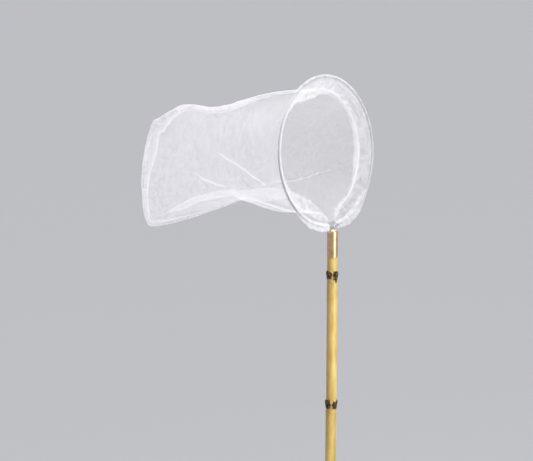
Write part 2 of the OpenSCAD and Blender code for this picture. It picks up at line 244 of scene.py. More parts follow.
def sewing_thread():
    """Spun polyester, two plies twisted: a matt white thread with a fine slanting lay."""
    material, tree = new_material("spun_polyester_thread")
    along = node(tree, "UVMap", uv_map="cloth")
    # the lay repeats every 1.2 mm, and a diagonal wave of scale 1 every 2 pi / 10
    twist = {"Vector": along, "Scale": 2 * math.pi / 10 / (1.2 * MM), "Distortion": 0.6}
    lay = node(tree, "TexWave", twist, bands_direction="DIAGONAL").outputs["Fac"]
    # painted shade: the thread is coloured darker in the grooves of its lay, where the relief is low
    tone = node(tree, "ValToRGB", {0: lay}, stops=[(0.0, "#dcdcdc"), (1.0, "#fafafa")])
    relief = node(tree, "Bump", {"Height": lay, "Strength": 0.4, "Distance": 0.1 * MM})
    polyester = {"Base Color": tone, "Roughness": 0.75, "Sheen Weight": 0.3, "Normal": relief}
    yarn = node(tree, "BsdfPrincipled", polyester)
    node(tree, "OutputMaterial", {"Surface": yarn})
    return material


def bamboo_skin():
    """The cane's own waxy skin, cured yellow: satin, with fibres running up it, brown flecks and joints that
    are scorched almost black by straightening over a flame. It is painted darker as shade down one side and
    in the groove above each bud, and the char's paler flecks are partly painted glints."""
    material, tree = new_material("bamboo_skin")
    skin = node(tree, "UVMap", uv_map="skin")
    patterns = []
    # width and length in mm of its fibres, of its clouds of colour and of its flecks
    for wide, tall, detail in ((0.9, 60, 4.0), (14, 45, 3.0), (1.6, 5, 2.0)):
        size = (1 / (wide * MM), 1 / (tall * MM), 1.0)
        space = node(tree, "Mapping", {"Vector": skin, "Scale": size})
        pattern = node(tree, "TexNoise", {"Vector": space, "Scale": 1.0, "Detail": detail})
        patterns.append(pattern)
    fibres, clouds, flecks = patterns
    yellows = [(0.25, "#b9994c"), (0.45, "#cfb262"), (0.6, "#dac476"), (0.8, "#e6d592")]
    straw = node(tree, "ValToRGB", {0: clouds}, stops=yellows)
    streaked = [(0.3, "#c9b99c"), (0.5, "#f1ecde"), (0.75, "#ffffff")]
    streaks = node(tree, "ValToRGB", {0: fibres}, stops=streaked)
    grained = node(tree, "Mix", {0: 0.75, 6: straw, 7: streaks}, data_type="RGBA", blend_type="MULTIPLY")
    fleck_mask = node(tree, "MapRange", {"Value": flecks, "From Min": 0.66, "From Max": 0.76})
    brown_and_shade = node(tree, "Attribute", attribute_name="brown_and_shade")
    scorch = node(tree, "Attribute", attribute_name="scorch")
    # the char is black-brown, and its paler flecks are partly painted glints of light on it
    char_and_glints = node(tree, "ValToRGB", {0: flecks}, stops=[(0.35, "#20180d"), (0.5, "#3a2e1e"), (0.68, "#6e5a3a")])
    ragged = node(tree, "Math", {0: fibres, 1: 0.5, 2: scorch.outputs["Fac"]}, operation="MULTIPLY_ADD")
    charring = {"Value": ragged, "From Min": 0.5, "From Max": 0.95}
    char_mask = node(tree, "MapRange", charring, interpolation_type="SMOOTHSTEP")
    tone = grained.outputs[2]
    # the second stain is real browning by the joints together with painted shade down one side of the cane
    # and in the bud groove
    stains = [(fleck_mask, colour("#8a5f2c")), (brown_and_shade.outputs["Fac"], colour("#94713a")), (char_mask, char_and_glints)]
    for mask, over in stains:
        tone = node(tree, "Mix", {0: mask, 6: tone, 7: over}, data_type="RGBA").outputs[2]
    # roughness, gloss and wax of clean skin and of char
    rough, gloss, wax = (
        node(tree, "MapRange", {"Value": char_mask, "To Min": clean, "To Max": burnt})
        for clean, burnt in ((0.36, 0.7), (0.5, 0.15), (0.15, 0.0))
    )
    relief = node(tree, "Bump", {"Height": fibres, "Strength": 0.25, "Distance": 0.15 * MM})
    satin = {"Base Color": tone, "Roughness": rough, "Specular IOR Level": gloss, "Normal": relief}
    bark = node(tree, "BsdfPrincipled", {**satin, "Coat Weight": wax, "Coat Roughness": 0.3})
    node(tree, "OutputMaterial", {"Surface": bark})
    return material


def bamboo_cut():
    """Bamboo sawn across and the bare wall of its hollow: pale, dry and matt, with the dark dots of its fibre
    bundles."""
    material, tree = new_material("bamboo_sawn")
    place = node(tree, "TexCoord").outputs["Object"]
    # the bundles lie 0.9 mm apart
    dots = node(tree, "TexVoronoi", {"Vector": place, "Scale": 1 / (0.9 * MM)}).outputs["Distance"]
    wood = node(tree, "ValToRGB", {0: dots}, stops=[(0.12, "#7d5c31"), (0.3, "#c3a268"), (0.7, "#d9bf88")])
    relief = node(tree, "Bump", {"Height": dots, "Strength": 0.3, "Distance": 0.2 * MM})
    face = node(tree, "BsdfPrincipled", {"Base Color": wood, "Roughness": 0.85, "Normal": relief})
    node(tree, "OutputMaterial", {"Surface": face})
    return material


def drawn_brass():
    """Brass tube, drawn, dulled and lacquered: a satin tan metal with fine lines up it, tarnished in patches,
    and a pale soft gleam on top."""
    material, tree = new_material("dull_drawn_brass")
    place = node(tree, "TexCoord").outputs["Object"]
    # draw lines 0.5 mm wide and 40 mm long, and patches of tarnish 9 mm across
    line_size = (1 / (0.5 * MM), 1 / (0.5 * MM), 1 / (40 * MM))
    line_space = node(tree, "Mapping", {"Vector": place, "Scale": line_size})
    lines = node(tree, "TexNoise", {"Vector": line_space, "Scale": 1.0, "Detail": 3.0})
    patches = node(tree, "TexNoise", {"Vector": place, "Scale": 1 / (9 * MM), "Detail": 3.0})
    tans = [(0.3, "#b69268"), (0.55, "#caa67b"), (0.8, "#d4b48a")]
    metal = node(tree, "ValToRGB", {0: patches}, stops=tans)
    dull = node(tree, "MapRange", {"Value": lines, "To Min": 0.3, "To Max": 0.5})
    relief = node(tree, "Bump", {"Height": lines, "Strength": 0.15, "Distance": 0.05 * MM})
    satin = {"Base Color": metal, "Metallic": 1.0, "Roughness": dull, "Normal": relief}
    tube = node(tree, "BsdfPrincipled", {**satin, "Coat Weight": 1.0, "Coat Roughness": 0.3})
    node(tree, "OutputMaterial", {"Surface": tube})
    return material


def galvanised_wire():
    """Steel wire dipped in zinc: a dull mid grey with a faint spangle and no clear reflections."""
    material, tree = new_material("galvanised_steel_wire")
    place = node(tree, "TexCoord").outputs["Object"]
    # crystals of zinc 2.5 mm across
    spangle = node(tree, "TexVoronoi", {"Vector": place, "Scale": 1 / (2.5 * MM)}).outputs["Color"]
    zinc = node(tree, "ValToRGB", {0: spangle}, stops=[(0.0, "#9b9ea1"), (1.0, "#b4b7ba")])
    dull = node(tree, "MapRange", {"Value": spangle, "To Min": 0.38, "To Max": 0.55})
    wire = node(tree, "BsdfPrincipled", {"Base Color": zinc, "Metallic": 1.0, "Roughness": dull})
    node(tree, "OutputMaterial", {"Surface": wire})
    return material


def split_wood():
    """A wedge split from softwood: pale, matt, with straight grain up it."""
    material, tree = new_material("split_pine")
    place = node(tree, "TexCoord").outputs["Object"]
    # grain 0.8 mm wide and 25 mm long
    grain_size = (1 / (0.8 * MM), 1 / (0.8 * MM), 1 / (25 * MM))
    grain_space = node(tree, "Mapping", {"Vector": place, "Scale": grain_size})
    grain = node(tree, "TexNoise", {"Vector": grain_space, "Scale": 1.0, "Detail": 3.0})
    wood = node(tree, "ValToRGB", {0: grain}, stops=[(0.3, "#a47a45"), (0.6, "#cda970"), (0.8, "#ddc18c")])
    relief = node(tree, "Bump", {"Height": grain, "Strength": 0.4, "Distance": 0.2 * MM})
    face = node(tree, "BsdfPrincipled", {"Base Color": wood, "Roughness": 0.8, "Normal": relief})
    node(tree, "OutputMaterial", {"Surface": face})
    return material


def matt_paper():
    """Grey paper of the backdrop: flat and matt, with no gloss."""
    material, tree = new_material("matt_grey_paper")
    face = node(tree, "BsdfDiffuse", {"Color": colour("#8b8b8d")})
    node(tree, "OutputMaterial", {"Surface": face})
    return material


# Meshes


def mesh_piece(name, points, faces, uv, materials, uv_name="cloth"):
    """A smooth piece from points and faces, with a place on the flat cloth for each corner of each face."""
    mesh = bpy.data.meshes.new(name)
    mesh.from_pydata(points.reshape(-1, 3).tolist(), [], faces)
    layer = mesh.uv_layers.new(name=uv_name)
    layer.data.foreach_set("uv", uv.astype(np.float32).ravel())
    mesh.polygons.foreach_set("use_smooth", [True] * len(faces))
    for material in materials:
        mesh.materials.append(material)
    piece = bpy.data.objects.new(name, mesh)
    scene.collection.objects.link(piece)
    return piece


def around(table):
    """The four values round each cell of a table, cell by cell."""
    low, high = table[:-1], table[1:]
    cells = np.stack([low[:, :-1], low[:, 1:], high[:, 1:], high[:, :-1]], 2)
    return cells.reshape(-1, 4, *table.shape[2:])


def grid_piece(name, points, uv, materials, uv_name="cloth", wrap=False, caps=False):
    """A smooth piece from rows and columns of points. wrap joins the last column to the first, caps fills the
    first and last rows, and uv has a column more than the points where they wrap."""
    rows, columns = points.shape[:2]
    index = np.arange(rows * columns).reshape(rows, columns)
    if wrap:
        index = np.hstack([index, index[:, :1]])
    faces = around(index).tolist()
    loops = around(uv).reshape(-1, 2)
    if caps:
        faces += [index[0, :columns][::-1].tolist(), index[-1, :columns].tolist()]
        loops = np.vstack([loops, uv[0, :columns][::-1], uv[-1, :columns]])
    return mesh_piece(name, points, faces, loops, materials, uv_name)


def paint(piece, name, values):
    """Stores a number at each point of a piece, for its material to read."""
    attribute = piece.data.attributes.new(name, "FLOAT", "POINT")
    attribute.data.foreach_set("value", np.asarray(values, np.float32).ravel())


def steps_along(points):
    """Distance of each point from the first, along the last axis but one."""
    gaps = np.linalg.norm(np.diff(points, axis=-2), axis=-1)
    return np.concatenate([np.zeros_like(gaps[..., :1]), np.cumsum(gaps, axis=-1)], axis=-1)


# Bag

HEM_ROWS = 6
NECK_ROWS = 30
PANEL_ROWS = 150
SECTION_POINTS = 241
CLOTH_T = 0.8
# how far down the hem's slope the bag's cloth starts, in between the hem's layers: at the gap, and elsewhere
BAG_START_LOW = 7.0
BAG_START = 20.0


def bag_rows():
    """Section of half the bag at each row from the hem to the end: x, place and height, from its lower to its
    upper edge."""
    angle = np.linspace(0, math.pi, SECTION_POINTS)
    start = mix(BAG_START_LOW, BAG_START, ease(angle / math.radians(30)))
    down = mix(start, HEM_W, np.linspace(0, 1, HEM_ROWS, endpoint=False)[:, None])
    cone = HOOP_R - down * math.sin(HEM_SLOPE)
    neck = np.linspace(HEM_BACK, PANEL_FRONT, NECK_ROWS, endpoint=False)
    u = np.linspace(0, 1, PANEL_ROWS)
    low = np.concatenate([neck, mix(PANEL_FRONT, LOW_END, u)])
    top = np.concatenate([neck, mix(PANEL_FRONT, TOP_END, u)])
    panel_w = smooth(TOP_EDGE, PANEL_FRONT) - smooth(SEAM_W, PANEL_FRONT)
    neck_w = mix(HEM_IN_R, panel_w, ease((neck - HEM_BACK) / (PANEL_FRONT - HEM_BACK)))
    wide = np.concatenate([neck_w, mix(CLOTH_T, panel_w, 1 - u**1.5)])
    bow = np.concatenate([0 * neck, END_BOW * u**5])
    high = smooth(TOP_EDGE, top) - smooth(SEAM_W, top)
    deep = smooth(LOW_EDGE, low) + smooth(SEAM_LOW_W, low)
    low, top, wide, bow, high, deep = (v[:, None] for v in (low, top, wide, bow, high, deep))
    up = (1 - np.cos(angle)) / 2
    x = np.vstack([cone * np.sin(angle), wide * np.sin(angle)])
    place = np.vstack([down * math.cos(HEM_SLOPE), mix(low, top, up) + bow * np.sin(angle)])
    return x, place, np.vstack([-cone * np.cos(angle), mix(deep, high, up)])


# A fold is a pleat along the bag: its upper crease as (place, height), the width of cloth that lies threefold
# below it as (place, mm), half the width that it takes up of the wall, and how much closer it presses the
# net.
LEFT_FOLDS = [
    {
        "crease": [
            (5, -45), (31, -46), (74, -46), (135, -50), (171, -52),
            (192, -55), (235, -65), (293, -82), (335, -98),
        ],
        "lap": [
            (5, 8), (40, 20), (80, 28), (135, 26), (171, 16),
            (200, 15), (235, 14), (280, 13), (320, 4), (345, 0),
        ],
        "half": 6.0,
        "crowd": 0.05,
    },
    {
        "crease": [(150, -46), (164, -43.5), (175, -39.5), (190, -33), (203, -28.5), (218, -25)],
        "lap": [(148, 0), (162, 3), (175, 4), (193, 4.5), (200, 3.5), (206, 0)],
        "half": 4.0,
        "crowd": 0.5,
    },
    {
        "crease": [(50, -44), (61, -35.5), (82, -18.5), (108, -5), (138, 6), (160, 14)],
        "lap": [(48, 0), (60, 2.6), (90, 3.2), (125, 2.6), (140, 1.5), (150, 0)],
        "half": 4.0,
        "crowd": 0.5,
    },
]
RIGHT_FOLDS = [
    {
        "crease": [
            (26, -33.5), (57, -35), (87, -41), (110, -47), (128, -51), (154, -53), (220, -62), (328, -97),
        ],
        "lap": [(5, 0), (30, 0.8), (60, 1.8), (110, 3.0), (150, 3.2), (200, 2), (250, 0)],
        "half": 4.0,
        "crowd": -0.4,
    },
]
FOLD_STEPS = 24
FOLD_LIFT = 0.9
# a fold with less lap than this is only part formed
FULL_LAP = 3
PLAIN_STEP = 2.6


def lay_folds(arc, place, height, folds, plain, seed):
    """Lays the folds across one row of the wall, with a number of plain steps between them: how far up the
    row each point of the cloth lies, how far it stands off, and how much closer than knitted it lies."""
    zones, free = [], 1.0
    for fold in folds:
        crease = np.interp(place, *np.array(fold["crease"], float).T)
        start = int(np.argmax(height >= crease))
        uneven = noise.noise(Vector((place[start] / 6, crease[start] / 40, seed)))
        lap = float(smooth(fold["lap"], place[start]))
        lap = lap + 0.5 * uneven * min(lap, FULL_LAP)
        lap = max(0.0, min(lap, 2 * (arc[start] - free - 1)))
        formed = min(1, lap / FULL_LAP)
        half = mix(1.0, fold["half"], formed)
        middle = max(arc[start] - lap / 2, free + half)
        zones.append((middle, half, lap / 2 + 0.45 * half * formed))
        free = middle + half + 1
    at, lift, last = [], [], 0.0
    for middle, half, doubled in zones + [(arc[-1], 0.0, 0.0)]:
        run = np.linspace(last, middle - half, plain, endpoint=half == 0)
        at.append(run)
        lift.append(0 * run)
        if half:
            t = np.linspace(-1, 1, FOLD_STEPS, endpoint=False)
            at.append(middle + half * t - doubled * np.sin(math.pi * t))
            lift.append(FOLD_LIFT * np.sin(math.pi * t / 2) * min(1, doubled))
        last = middle + half
    at, lift = np.clip(np.concatenate(at), 0, arc[-1]), np.concatenate(lift)
    index, crowd = np.arange(len(at)), np.zeros(len(at))
    for k, (fold, (*_, doubled)) in enumerate(zip(folds, zones)):
        first = k * (plain + FOLD_STEPS) + plain
        in_fold = (index >= first) & (index < first + FOLD_STEPS)
        from_middle = index - first - FOLD_STEPS / 2
        away = np.abs(from_middle) - FOLD_STEPS / 2
        fade = FOLD_LIFT * min(1, doubled) * np.exp(-away / 4) * np.sign(from_middle)
        lift = lift + np.where(in_fold, 0, fade)
        pressed = fold["crowd"] * (1 + 0.8 * noise.noise(Vector((place[0] / 5, k, seed))))
        crowd += np.where(in_fold, pressed * min(1, doubled) * ease((330 - place[0]) / 70), 0)
    return at, lift, crowd


def bag_cloth(name, side, folds, rumple, seed):
    """One side of the bag as a sheet from the hem to the end seam, with its folds, ripples and gathers."""
    x, place, height = bag_rows()
    section = np.stack([x, place, height], -1)
    arc = steps_along(section)
    lean = np.gradient(section[..., [0, 2]], axis=1)
    lean /= np.linalg.norm(lean, axis=-1, keepdims=True)
    plain = max(8, int(arc[:, -1].mean() / PLAIN_STEP / (len(folds) + 1)))
    rows = [lay_folds(*row, folds, plain, seed) for row in zip(arc, place, height)]
    at, lift, crowd = (np.array(v) for v in zip(*rows))

    def across(values):
        return np.array([np.interp(a, r, v) for a, r, v in zip(at, arc, values)])

    end_place, end_height = place[-1], height[-1]
    x, place, height = across(x), across(place), across(height)
    off_x, off_height = across(lean[..., 1]), -across(lean[..., 0])
    from_top = arc[:, -1:] - at
    edge = np.minimum(at, from_top)
    from_hem = place - HEM_BACK
    bare = ease(edge / 25) * ease(from_hem / 25)
    swell = 3.0 * wander(place, at, 70, seed) * bare
    crinkle = 0.9 * creases(place, at, 24, seed + 5) * bare
    gather = 1.6 * np.exp(-from_hem / 30) * wander(0.12 * place, at, 8, seed + 9, 1) * ease(edge / 12)
    fan = np.arctan2(height - PINCH[1], place - PINCH[0])
    near = np.hypot(height - PINCH[1], place - PINCH[0])
    spokes = 1.8 * np.sin(9 * fan + 2 * wander(place, at, 60, seed + 3))
    spokes = spokes * ease(near / 40) * np.exp(-near / 70) * bare
    lift = lift + swell + crinkle + gather + spokes
    points = in_hoop(side * (x + off_x * lift + CLOTH_T / 2), place, height + off_height * lift)
    girth = steps_along(points)
    length = np.where(from_hem < 0, HEM_BACK + from_hem / math.cos(HEM_SLOPE), place)
    uv = np.stack([length * MM, girth - girth[:, -1:] / 2], -1)
    piece = grid_piece(name, points, uv, [BAG_NET])
    # the net shows less thread towards the top seam and on the underside, and more beside the end seam
    from_end = np.maximum(np.interp(height, end_height, end_place) - place, 0)
    underside = ease((20 - at) / 12) * ease((place - 55) / 40) * ease((335 - place) / 50)
    crowd = crowd - mix(0.2, 0.62, ease((240 - place) / 60)) * (1 - ease(from_top / 90))
    crowd = crowd - mix(0.5, 0.78, ease((180 - place) / 20)) * underside
    crowd = crowd + 0.4 * np.exp(-from_end / 10) * ease((place - 250) / 60)
    paint(piece, "crowd", crowd + rumple * np.maximum(creases(place, at, 13, seed + 7), -0.5) * bare)
    return piece


def bag_swing(piece):
    """Bakes a piece's placement into its points; where it would hang on the hem and follow the bag is found
    but not used.
    """
    start, end = in_hoop([0, 0], [HEM_BACK, PANEL_FRONT], [0, 0])
    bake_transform(piece)


# Seam

SEAM_STEP = 1.5
# how many steps to each side the seam's heading is evened over
HEADING_SPREAD = 14
# the bottom seam is the part of the seam below this height
BOTTOM_SEAM = -60.0
# the least thread that the gathered net may show, as a share taken off
LOOSEST = -0.8
SEAM_COLUMNS = 15
ROLL_COLUMNS = 14
SEAM_ROLL = 1.25
SEAM_HALF_T = 0.7
# how far the edges curl round, and where the inner edge's curl begins
CURL = 2.4 * math.pi
INNER_CURL = 0.6 * math.pi


def seam_path():
    """The bag's wall where the panels meet, from the hem along the top, down the end and back along the
    bottom: places and heights, the outward direction at each, and the distance along."""
    outline = np.stack(bag_rows()[1:], -1)
    wall = np.concatenate([outline[:, -1], outline[-1, -2:0:-1], outline[::-1, 0]])
    along = steps_along(wall)
    even = np.arange(0, along[-1], SEAM_STEP)
    line = np.stack([np.interp(even, along, wall[:, k]) for k in (0, 1)], -1)
    kernel = np.ones(2 * HEADING_SPREAD + 1) / (2 * HEADING_SPREAD + 1)
    heading = np.pad(np.gradient(line, axis=0), ((HEADING_SPREAD, HEADING_SPREAD), (0, 0)), "edge")
    heading = np.stack([np.convolve(part, kernel, "valid") for part in heading.T], -1)
    heading /= np.linalg.norm(heading, axis=1, keepdims=True)
    return line, np.stack([-heading[:, 1], heading[:, 0]], -1), even


def seam_cloth():
    """The two edges of the panels beyond the sewn line: a soft doubled band with a curled edge on each side,
    rippled along the bag and bunched at the upper corner."""
    line, outward, even = seam_path()
    even = even[:, None]
    place, height = line[:, :1], line[:, 1:]
    on_bottom = height < BOTTOM_SEAM
    # shares from 0 to 1 for the places along the seam that differ
    at_corner = bump(place, 335, 30) * bump(height, 48, 38)
    knob = bump(place, 343, 6) * bump(height, 46, 6)
    at_end = ease((place - 300) / 50)
    upper_end = at_end * bump(height, 5, 32)
    at_low = ease((-outward[:, 1:] - 0.4) / 0.4)
    low_corner = np.where(on_bottom, bump(place, 370, 40), 0)
    at_mouth = np.where(on_bottom, ease((178 - place) / 25), 0)
    at_top = np.where(height > 0, ease((325 - place) / 40), 0)
    clear_of_hem = ease((place - 20) / 50)
    start = 0.15 + 0.85 * ease((place - 14) / 30)
    width = np.where(on_bottom, smooth(SEAM_LOW_W, place), smooth(SEAM_W, place))
    width = width + 0.6 * wander(even, 0, 16, 41) + 0.4 * wander(even, 3, 6, 42)
    narrowed = 1.1 * at_top * ease((width - 3) / 4)
    width = width + 1.2 * at_corner * wander(even, 7, 9, 45) + 2.4 * knob - narrowed
    inner = -start * (
        2.5
        - 1.2 * at_low
        + 3 * at_end * (1 - at_low)
        + 11 * upper_end
        + 4 * at_corner
        + 0.8 * wander(even, 9, 14, 46)
        + 2.0 * at_corner * wander(even, 5, 8, 48)
    )
    roll_r = SEAM_ROLL * start * (1 + 0.4 * wander(even, 2, 7, 49) + 0.5 * at_corner)
    inner_r = roll_r * (1 - 0.7 * at_top - 0.5 * at_low + 0.3 * at_end)
    share = np.linspace(0, 1, SEAM_COLUMNS)[None]
    rolling = np.linspace(0, 1, ROLL_COLUMNS)[None]
    tight = 1 - 0.45 * rolling
    curl = CURL * rolling
    # the inner edge's curl, one face of the band, the outer edge's curl and the other face
    far = [
        inner + inner_r * tight * np.sin(curl + INNER_CURL),
        mix(inner, width - roll_r, share),
        width - roll_r + roll_r * tight * np.sin(curl),
        mix(width - roll_r, inner, share),
    ]
    side = [
        inner_r * tight * np.cos(curl + INNER_CURL),
        -SEAM_HALF_T - 0 * far[1],
        roll_r * tight * np.cos(curl + math.pi),
        SEAM_HALF_T + 0 * far[3],
    ]
    far, side = np.hstack(far), np.hstack(side)
    # the free edge leans over to the light along the top and at the upper corner
    side = side - np.maximum(0.6 * at_top, 0.3 * at_corner) * np.maximum(far - 1, 0)
    wave = (1.4 + 2.5 * at_corner) * wander(even, 0, 15, 43) * ease((far + 1) / 8)
    bunch = at_corner * 2.2 * creases(even, far, 8, 47)
    points = in_hoop(side + wave + bunch, place + far * outward[:, :1], height + far * outward[:, 1:])
    uv = np.stack([np.broadcast_to(even * MM, far.shape), steps_along(points)], -1)
    piece = grid_piece("bag_seam_edge", points, uv, [GATHERED_NET])
    patchy = at_corner * np.maximum(creases(even, far, 9, 50), -0.6)
    rolled = (1.3 - 0.5 * at_end) * clear_of_hem + 0 * rolling
    tucked = np.maximum(at_corner, upper_end)
    tucks = bump(share, 0.16 + 0.08 * wander(even, 11, 20, 51), 0.13)
    tucks = tucks + 2.4 * bump(share, 0.86 + 0.08 * wander(even, 13, 20, 52), 0.15)
    flat = 0.1 - 0.25 * at_end - 0.1 * at_low + 0.7 * low_corner - 0.4 * at_mouth
    flat = flat + at_top * (0.1 + 1.7 * share) + tucked * (tucks - 0.55)
    edge = rolled * (1 - 0.5 * np.maximum(at_low, low_corner)) - 0.9 * at_mouth
    turned = rolled * (1 - 0.5 * at_top - 0.9 * at_low) - 0.75 * at_mouth
    crowd = np.hstack([turned, flat, edge, flat[:, ::-1]])
    paint(piece, "crowd", np.maximum(crowd + 0.8 * patchy, LOOSEST))
    return piece


# Hem

# The hem runs round the hoop by angle, in degrees from the right and up, and is open at the ferrule.
HEM_FROM = -84.0
HEM_TO = 266.0
HEM_STEP = 0.7
# width of its loose band by the angle
HEM_WIDTHS = [
    (-84, 10), (-75, 20), (-62, 25), (-40, 24), (-15, 29), (20, 26), (45, 25), (72, 28), (90, 40), (106, 39),
    (122, 27), (145, 22), (180, 22), (205, 29), (222, 44), (238, 51), (250, 54), (259, 50), (266, 32),
]
# how much closer than knitted the net lies by the angle, in the band and round the wire
HEM_CROWD = [
    (-84, -0.6), (-60, -0.65), (-10, -0.6), (50, -0.4), (85, 0.05), (125, 0.1), (160, 1.2), (195, 0.6),
    (205, -0.2), (225, -0.7), (266, -0.65),
]
TUBE_CROWD = [
    (-84, 0.0), (-65, -0.2), (-40, -0.35), (0, -0.2), (30, 0.3), (60, 0.5), (90, 0.2), (125, 0.0),
    (150, -0.2), (210, -0.2), (225, 0.0), (238, 0.55), (266, 0.7),
]
# how far the loose cloth hangs below the wire beside the ferrule, by the angle
HEM_SAG = [
    (-84, 3), (-77, 4.5), (-69, 7.2), (-60, 6.8), (-49, 3.5), (-35, 0.5), (-20, 0), (210, 0), (220, 0.6),
    (235, 4), (245, 5.4), (257, 5.6), (262, 5), (266, 3),
]
TUBE_R = 2.7
# where the band leaves the tube, in tube radii down the slope
BAND_FROM = 1.9


def hem_point(degrees, down, lift, sag=0.0):
    """A point of the hem: down its slope from the wire, lifted towards the mouth, and sagging out from the
    hoop."""
    angle = np.radians(degrees)
    radius = HOOP_R + sag - down * math.sin(HEM_SLOPE) - lift * math.cos(HEM_SLOPE)
    place = down * math.cos(HEM_SLOPE) - lift * math.sin(HEM_SLOPE)
    return in_hoop(radius * np.cos(angle), place, radius * np.sin(angle))


def by_ferrule(degrees):
    """Share from 0 round the hoop to 1 at its lower part, beside the ferrule."""
    return ease((np.abs(degrees - 90) - 105) / 40)


def hem_ruffle(degrees, down):
    """How far the hem's band lies off its even slope: gathers that grow towards its free edge, and
    crumples."""
    rim = np.radians(degrees) * HOOP_R
    gathers = 1.6 * wander(rim, 0.3 * down, 13, 71)
    crumple = 1.2 * (1 + 1.8 * by_ferrule(degrees)) * creases(rim, down, 14, 72)
    return ease((down - 4) / 26) * gathers + ease((down - 4) / 12) * crumple


def hem_cloth():
    """The mouth of the bag folded round the wire: a turned-in edge, the back of the band, the tube round the
    wire, the front of the band and its own turned edge, in one sheet."""
    degrees = np.arange(HEM_FROM, HEM_TO, HEM_STEP)[:, None]
    rim = np.radians(degrees) * HOOP_R
    width = smooth(HEM_WIDTHS, degrees) + (1.6 + 3 * by_ferrule(degrees)) * wander(rim, 0, 15, 73)
    width = width + 1.2 * wander(rim, 0, 5, 74)
    # the tube is looser over the top and on the left, and tighter on the right
    tube = TUBE_R - 0.6 * ease((60 - np.abs(degrees)) / 30) + 0.4 * wander(rim, 0, 18, 75)
    tube = tube + ease(1 - np.abs(degrees - 95) / 55) + 0.7 * ease(1 - np.abs(degrees - 175) / 45)
    t = np.linspace(0, 1, 16)[None]
    turn = np.linspace(-0.72, 0.72, 13)[None] * math.pi
    inner = mix(np.maximum(width - 9 - 3 * wander(rim, 0, 20, 76), 2), width - 1, t[:, ::3])
    back = mix(width, BAND_FROM * tube, t)
    front = mix(BAND_FROM * tube, width + 1.5, t)
    turned = mix(width + 1.2, np.maximum(width - 5 - 2 * wander(rim, 0, 11, 77), 2), t[:, ::3])
    downs, lifts = [], []
    layers = [(inner, -0.2), (back, -0.9), (None, None), (front, 0.9), (turned, 0.4)]
    for k, (down, lift) in enumerate(layers):
        if down is None:
            down, lift = -tube * np.cos(turn), tube * np.sin(turn)
        else:
            own = 0.7 * wander(rim, down, 10, 80 + k) * ease(down / 14)
            lift = lift + hem_ruffle(degrees, down) + own
        downs.append(down)
        lifts.append(lift)
    # the columns of the tube, with one of the band on each side
    tube_from = inner.shape[1] + back.shape[1] - 1
    tube_to = tube_from + turn.shape[1] + 2
    slack = smooth(HEM_SAG, degrees) * (1 + 0.35 * wander(rim, 0, 11, 78))
    sag = np.zeros((len(degrees), sum(down.shape[1] for down in downs)))
    sag[:, tube_from + 1 : tube_to - 1] = slack * ease((np.cos(turn) + 0.1) / 1.1)
    points = hem_point(degrees, np.hstack(downs), np.hstack(lifts), sag)
    crowd = np.broadcast_to(smooth(HEM_CROWD, degrees), points.shape[:2]).copy()
    round_wire = np.pad(ease((turn - 0.15 * math.pi) / (0.35 * math.pi)), ((0, 0), (1, 1)), "edge")
    on_left = ease((75 - np.abs(degrees - 175)) / 40)
    round_wire = mix(mix(-0.2, -0.5, on_left), mix(0.0, 0.7, on_left), round_wire)
    sagging = np.clip(slack / 4, 0, 1)
    crumpled = creases(rim, 2 * np.arange(tube_to - tube_from)[None], 9, 89)
    crowd[:, tube_from:tube_to] = smooth(TUBE_CROWD, degrees) + round_wire * (1 - sagging)
    crowd[:, tube_from:tube_to] += 0.5 * sagging * crumpled
    crowd[:, : inner.shape[1]] -= 0.5
    crowd[:, -turned.shape[1] :] -= 0.5
    crowd += 0.25 * np.maximum(creases(0.5 * rim, np.hstack(downs), 9, 88), -0.6)
    uv = np.stack([np.broadcast_to(rim * MM, points.shape[:2]), steps_along(points)], -1)
    piece = grid_piece("hem_cloth", points, uv, [GATHERED_NET])
    paint(piece, "crowd", np.maximum(crowd, LOOSEST))
    return piece


# Stitching

STITCH_PITCH = 3.4
STITCH_LENGTH = 2.6
THREAD_R = 0.33
STITCH_SIDES = 6
STITCH_RINGS = 7
# the step from ring to ring and from side to side on the flat thread
STITCH_UV = 0.25
# where the rows lie: how far off the middle of the cloth, and how far out from the seam's wall
HEM_STITCH_OFF = 1.4
SEAM_STITCH_OFF = 1.1
SEAM_STITCH_OUT = 1.0
# the angles at the hem's two ends that its row leaves free, and the least distance from the band's edge
HEM_ROW_ENDS = (8, 6)
HEM_ROW_EDGE = 3


def stitches(name, path, away):
    """A row of separate lockstitches along a path of points in metres, standing off the cloth on the side
    away."""
    along = steps_along(path)
    rings, faces = [], []
    share = np.linspace(-0.5, 0.5, STITCH_RINGS)
    arch = np.cos(share * math.pi)
    turn = np.linspace(0, 2 * math.pi, STITCH_SIDES, endpoint=False)
    for middle in np.arange(STITCH_PITCH, along[-1] / MM - STITCH_PITCH, STITCH_PITCH):
        at = (middle + share * STITCH_LENGTH) * MM
        line = np.stack([np.interp(at, along, path[:, k]) for k in range(3)], -1)
        lift = np.array([np.interp(middle * MM, along, away[:, k]) for k in range(3)])
        lift /= np.linalg.norm(lift)
        heading = line[-1] - line[0]
        heading /= np.linalg.norm(heading)
        beside = np.cross(heading, lift)
        core = line + np.outer(arch - 0.6, lift) * THREAD_R * MM
        thick = THREAD_R * MM * (0.45 + 0.55 * np.sqrt(arch.clip(0)))
        ring = np.cos(turn)[None, :, None] * lift + np.sin(turn)[None, :, None] * beside
        rings.append(core[:, None] + thick[:, None, None] * ring)
    count = STITCH_RINGS * STITCH_SIDES
    index = np.arange(count).reshape(STITCH_RINGS, STITCH_SIDES)
    sides = around(np.hstack([index, index[:, :1]]))
    for first in range(0, len(rings) * count, count):
        faces += (first + sides).tolist() + (first + np.array([index[0, ::-1], index[-1]])).tolist()
    flat = STITCH_UV * MM * np.stack(np.indices((STITCH_RINGS, STITCH_SIDES + 1)), -1)
    loops = np.vstack([around(flat).reshape(-1, 2), np.zeros((2 * STITCH_SIDES, 2))])
    return mesh_piece(name, np.concatenate(rings), faces, np.tile(loops, (len(rings), 1)), [THREAD])


